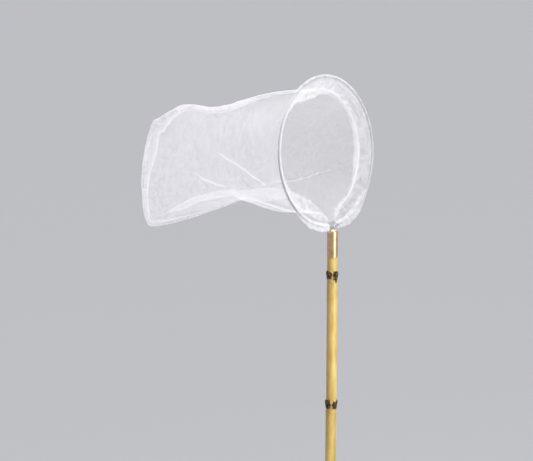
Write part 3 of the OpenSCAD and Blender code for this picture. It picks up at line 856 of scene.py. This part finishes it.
def hem_stitches(name, side):
    """One side of the hem's row of stitches, on the cloth as it is ruffled."""
    degrees = np.arange(HEM_FROM + HEM_ROW_ENDS[0], HEM_TO - HEM_ROW_ENDS[1], HEM_STEP)
    down = np.minimum(HEM_SEWN, smooth(HEM_WIDTHS, degrees) - HEM_ROW_EDGE)
    lift = hem_ruffle(degrees, down)
    path = hem_point(degrees, down, lift + side * HEM_STITCH_OFF)
    away = path - hem_point(degrees, down, lift)
    return stitches(name, path, away)


def seam_stitches(name, side):
    """One side of the row of stitches that joins the panels."""
    line, outward = seam_path()[:2]
    sewn = line + SEAM_STITCH_OUT * outward
    path = in_hoop(side * SEAM_STITCH_OFF, sewn[:, 0], sewn[:, 1])
    away = np.broadcast_to(side * ACROSS, path.shape)
    return stitches(name, path, away)


# Cane

CANE_TOP_R = 7.4
CANE_BUTT_R = 9.0
CANE_BORE_R = 4.5
CANE_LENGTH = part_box("cane")[1][2] / MM
# from the highest place of the cane, at the edge of its bore, down to its first joint
FIRST_JOINT = 69.9
JOINT_PITCH = 199.0
JOINTS = 4
JOINT_HALF = 12.0
PARTITION_T = 5.0
TOP_ROUND = 5.4
TOP_LAST = math.acos(1 - (CANE_TOP_R - CANE_BORE_R) / TOP_ROUND)
CANE_SIDES = 72
# spacing of the rings up the skin, along the lengths and at the joints
LENGTH_STEP = 6.0
JOINT_STEP = 0.5
# how far the cane's middle strays from straight at each joint, from the butt up: height, x, y
CROOK = [(0, 0, 0), (135, 0.5, -0.4), (334, -0.6, 0.4), (533, 0.8, 0.5), (732, 0, 0), (800, 0, 0)]
# the way round the cane that faces the picture's camera, and from there to the bud of the top joint
FRONT = math.radians(-142)
BUD_TURN = math.radians(55)
# scorched places at each joint from the top down: angle from the front, height above the joint, half angle,
# half height
SCORCH = [
    [(-54, 1.5, 52, 7), (50, 1, 46, 7), (48, -7, 14, 4.5), (140, 1, 55, 7), (-130, 1, 40, 6)],
    [(-48, 1, 44, 7), (46, 0.5, 40, 7), (85, 4, 24, 4), (-88, 4, 22, 4.5), (150, 0, 55, 6)],
    [(-20, 0, 50, 7), (80, 1, 40, 8), (170, -1, 45, 8)],
    [(10, 1, 45, 8), (110, 0, 45, 7), (-120, 0, 50, 8)],
]


def joint_height(i):
    """Height of a joint above the butt, counted from the top down."""
    return CANE_LENGTH - FIRST_JOINT - i * JOINT_PITCH


def cane_radius(z, turn):
    """Radius of the cane's skin: stepped lengths, a scar and a ridge at each joint, and a bud with the groove
    above it."""
    radius = np.full(np.broadcast(z, turn).shape, CANE_TOP_R)
    step = (CANE_BUTT_R - CANE_TOP_R) / JOINTS
    for i in range(JOINTS):
        joint = joint_height(i) + 0.5 * np.sin(turn + 1.7 * i)
        bud_side = FRONT + BUD_TURN + math.pi * i
        facing = np.maximum(0, np.cos(turn - bud_side))
        radius = radius + step * ease((joint + 4 - z) / 16)
        radius = radius + 1.4 * bump(z, joint + 3.2, 3.6) + 0.4 * bump(z, joint, 9)
        radius = radius + 0.55 * bump(z, joint - 1.6, 0.8) - 0.35 * bump(z, joint + 0.1, 0.7)
        radius = radius + 1.3 * bump(z, joint + 4, 4) * facing**14
        above = ease((z - joint - 6) / 10) * ease((joint + JOINT_PITCH - 12 - z) / 60)
        radius = radius - 0.5 * above * facing**6
    return radius + 0.12 * np.sin(2 * turn + 0.004 * z)


def cane_skin_heights():
    """Heights of the rings up the skin: close together at the joints."""
    heights = set(np.arange(0, CANE_LENGTH - TOP_ROUND, LENGTH_STEP).round(2))
    for i in range(JOINTS):
        middle = joint_height(i)
        heights = {z for z in heights if abs(z - middle) > JOINT_HALF}
        heights |= set(np.arange(middle - JOINT_HALF, middle + JOINT_HALF, JOINT_STEP).round(2))
    return np.array(sorted(heights))


def bamboo_cane():
    """The cane as one shell: down the butt's hollow, across the sawn end, up the skin, over the top and down
    the hollow that holds the tails."""
    turn = np.linspace(0, 2 * math.pi, CANE_SIDES, endpoint=False)[None]
    low_floor = joint_height(JOINTS - 1) - PARTITION_T / 2
    top_floor = joint_height(0) + PARTITION_T / 2
    heights = cane_skin_heights()
    skin_r = cane_radius(heights[:, None], turn)
    roll = np.linspace(0, TOP_LAST, 6)[:, None]
    top_rise = TOP_ROUND * (math.sin(TOP_LAST) - np.sin(roll[:, 0]))
    cut = [
        ([low_floor], 0.5),
        ([low_floor], CANE_BORE_R),
        ([60.0], CANE_BORE_R),
        ([0.6], CANE_BORE_R + 0.1),
        ([0.0], CANE_BORE_R + 0.6),
        ([0.0], skin_r[:1] - 2),
        ([0.0], skin_r[:1] - 0.5),
    ]
    rings = cut + [
        (heights + np.where(heights == 0, 0.5, 0), skin_r),
        (CANE_LENGTH - top_rise, CANE_TOP_R - TOP_ROUND * (1 - np.cos(roll)) + 0 * turn),
        ([top_floor], CANE_BORE_R),
        ([top_floor], 0.5),
    ]
    z = np.concatenate([ring[0] for ring in rings])[:, None]
    radius = np.concatenate([np.broadcast_to(ring[1], (len(ring[0]), CANE_SIDES)) for ring in rings])
    crook = np.array(CROOK, float)
    off_x, off_y = (np.interp(z, crook[:, 0], crook[:, k]) for k in (1, 2))
    points = MM * np.stack(
        [radius * np.cos(turn) + off_x, radius * np.sin(turn) + off_y, np.broadcast_to(z, radius.shape)], -1
    )
    round_skin = np.linspace(0, 2 * math.pi * CANE_TOP_R, CANE_SIDES + 1)[None]
    run = steps_along(points[:, 0])[:, None]
    uv = np.stack([np.broadcast_to(round_skin * MM, (len(z), CANE_SIDES + 1)), run + 0 * round_skin], -1)
    piece = grid_piece("bamboo_cane", points, uv, [bamboo_skin(), bamboo_cut()], "skin", wrap=True, caps=True)
    row_of_face = np.arange(len(piece.data.polygons)) // CANE_SIDES
    is_skin = (row_of_face >= len(cut)) & (row_of_face < len(cut) + len(heights) + len(roll))
    piece.data.polygons.foreach_set("material_index", np.where(is_skin, 0, 1).astype(np.int32))
    scorch, brown_and_shade = np.zeros(radius.shape), np.zeros(radius.shape)
    ragged = wander(round_skin[:, :-1] + 0 * z, z, 4.5, 90)
    for i, places in enumerate(SCORCH):
        above = z - joint_height(i)
        for angle, up, half_angle, half_height in places:
            aside = (turn - FRONT - math.radians(angle) + math.pi) % (2 * math.pi) - math.pi
            wide, tall = np.abs(aside / math.radians(half_angle)), np.abs((above - up) / half_height)
            far = (wide**3 + tall**3) ** (1 / 3)
            scorch = np.maximum(scorch, ease((1.2 - far + 0.4 * ragged) / 0.5))
        scorch = np.maximum(scorch, 0.34 * bump(above, 1, 5))
        brown_and_shade = brown_and_shade + 0.55 * bump(above, 2, 12) + 0.35 * bump(above, -10, 20) * (0.5 + ragged)
        # the bud groove above each joint is browned and also painted darker as shade in its hollow, lightly
        # under the ferrule and more lower down
        groove_brown_and_shade = np.maximum(0, np.cos(turn - FRONT - BUD_TURN - math.pi * i)) ** 4
        groove_brown_and_shade = groove_brown_and_shade * ease((above - 4) / 8) * ease((JOINT_PITCH - 8 - above) / 10)
        brown_and_shade = brown_and_shade + (0.5 if i else 0.15) * groove_brown_and_shade
    # painted shade: the cane is darker all the way up the side to the camera's left, away from the softbox
    brown_and_shade = brown_and_shade + 0.7 * np.maximum(0, np.cos(turn - FRONT + math.radians(75))) ** 2
    paint(piece, "scorch", scorch)
    paint(piece, "brown_and_shade", np.clip(brown_and_shade, 0, 0.8))
    return piece


# Pieces

BAG_NET = nylon_net("nylon_net", thread=0.145, patch=5, spread=0.15)
GATHERED_NET = nylon_net("nylon_net_gathered", thread=0.16, patch=9, spread=0.3)
THREAD = sewing_thread()

cane = bamboo_cane()
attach(cane, "frame")
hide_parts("cane")

hem = hem_cloth()
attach(hem, "frame")
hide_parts("hem_casing")

left = bag_cloth("bag_left_cloth", -1, LEFT_FOLDS, rumple=0.35, seed=11)
right = bag_cloth("bag_right_cloth", 1, RIGHT_FOLDS, rumple=0.05, seed=12)
for piece, panel in ((left, "bag_left_panel"), (right, "bag_right_panel")):
    bag_swing(piece)
    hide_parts(panel, "bag_neck")

seam = seam_cloth()
bag_swing(seam)
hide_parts("bag_seam")

for place, side in (("front", 1), ("back", -1)):
    row = hem_stitches(f"hem_stitches_{place}", side)
    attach(row, "frame")
    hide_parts(f"hem_thread_{place}")
for place, side in (("left", -1), ("right", 1)):
    row = seam_stitches(f"seam_stitches_{place}", side)
    bag_swing(row)
    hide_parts(f"seam_thread_{place}")

for name, material in (("ferrule", drawn_brass()), ("hoop", galvanised_wire()), ("wedge", split_wood())):
    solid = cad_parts[name]
    solid.data.materials.clear()
    solid.data.materials.append(material)

# Stage: a plain grey floor under soft light, and the camera of the picture.

FLOOR_SPAN = 120.0
FLOOR_GAP = 0.5
CAMERA_AZIMUTH = math.radians(-49.57)
CAMERA_ELEVATION = math.radians(11.03)
CAMERA_FAR = 2400.0
PICTURE_W, PICTURE_H = 533, 461
HOOP_PIXEL = (327.3, 152.0)
PIXELS_PER_MM = 0.6805
SENSOR = 36.0

to_camera = np.array([math.sin(CAMERA_AZIMUTH), -math.cos(CAMERA_AZIMUTH), 0.0])
rightward = np.array([math.cos(CAMERA_AZIMUTH), math.sin(CAMERA_AZIMUTH), 0.0])
forward = -math.cos(CAMERA_ELEVATION) * to_camera - math.sin(CAMERA_ELEVATION) * np.array([0, 0, 1])
upward = np.cross(rightward, forward)
eye = (
    HOOP_CENTRE
    - forward * CAMERA_FAR
    - rightward * (HOOP_PIXEL[0] - PICTURE_W / 2) / PIXELS_PER_MM
    + upward * (HOOP_PIXEL[1] - PICTURE_H / 2) / PIXELS_PER_MM
)
camera = bpy.data.objects.new("camera", bpy.data.cameras.new("camera"))
camera.data.sensor_width = SENSOR
camera.data.lens = SENSOR * PIXELS_PER_MM * CAMERA_FAR / PICTURE_W
camera.data.clip_end = 2 * FLOOR_SPAN
camera.location = Vector(eye * MM)
camera.rotation_euler = Vector(forward).to_track_quat("-Z", "Y").to_euler()
scene.collection.objects.link(camera)
scene.camera = camera

floor_corners = FLOOR_SPAN / 2 * np.array([[(-1, -1, 0), (1, -1, 0)], [(-1, 1, 0), (1, 1, 0)]])
floor = grid_piece("floor", floor_corners, floor_corners[..., :2], [matt_paper()])
floor.location.z = cad_low.z - FLOOR_GAP * MM


def towards(aside, high):
    """Direction to a light, degrees to the right of the camera's side of the net and degrees up."""
    aside, high = math.radians(aside), math.radians(high)
    level = math.cos(aside) * to_camera + math.sin(aside) * rightward
    return math.cos(high) * level + math.sin(high) * np.array([0, 0, 1])


def add_light(name, kind, direction, **settings):
    """A light that shines from a direction, with its settings."""
    light = bpy.data.objects.new(name, bpy.data.lights.new(name, kind))
    for setting, value in settings.items():
        setattr(light.data, setting, value)
    light.rotation_euler = Vector(-direction).to_track_quat("-Z", "Y").to_euler()
    scene.collection.objects.link(light)
    return light


# A tall softbox stands to the right of the camera, with a broad fill to the left, a light behind the net that
# shines through it, and one from above.
SOFTBOX_FAR = 1.8
SOFTBOX_MIDDLE = Vector((0, 0.1, 1.05))
softbox_way = towards(51, 0)
softbox = add_light("softbox", "AREA", softbox_way, shape="RECTANGLE", size=0.9, size_y=1.5, energy=26)
softbox.location = SOFTBOX_MIDDLE + SOFTBOX_FAR * Vector(softbox_way)
softbox.visible_camera = False
add_light("left_fill", "SUN", towards(-75, 30), energy=0.75, angle=math.radians(70))
add_light("back_light", "SUN", towards(160, 35), energy=1.1, angle=math.radians(60))
add_light("top_light", "SUN", towards(60, 78), energy=3.4, angle=math.radians(60))

# The world lights the net as a pale sky, and is plain grey where it is seen, also in or through a surface.
SKY = 0.68
world = bpy.data.worlds.new("studio")
world.use_nodes = True
studio = world.node_tree
studio.nodes.clear()
sky = node(studio, "Background", {"Color": colour("#f4f6ff"), "Strength": SKY})
seen = node(studio, "Background", {"Color": colour("#c2c2c6"), "Strength": 1.0})
ray = node(studio, "LightPath").outputs
direct = ray["Is Camera Ray"]
for kind in ("Is Glossy Ray", "Is Transmission Ray"):
    direct = node(studio, "Math", {0: direct, 1: ray[kind]}, operation="MAXIMUM")
both = node(studio, "MixShader", {0: direct, 1: sky, 2: seen})
node(studio, "OutputWorld", {"Surface": both})
scene.world = world
scene.view_settings.view_transform = "Standard"
scene.cycles.transparent_max_bounces = 48
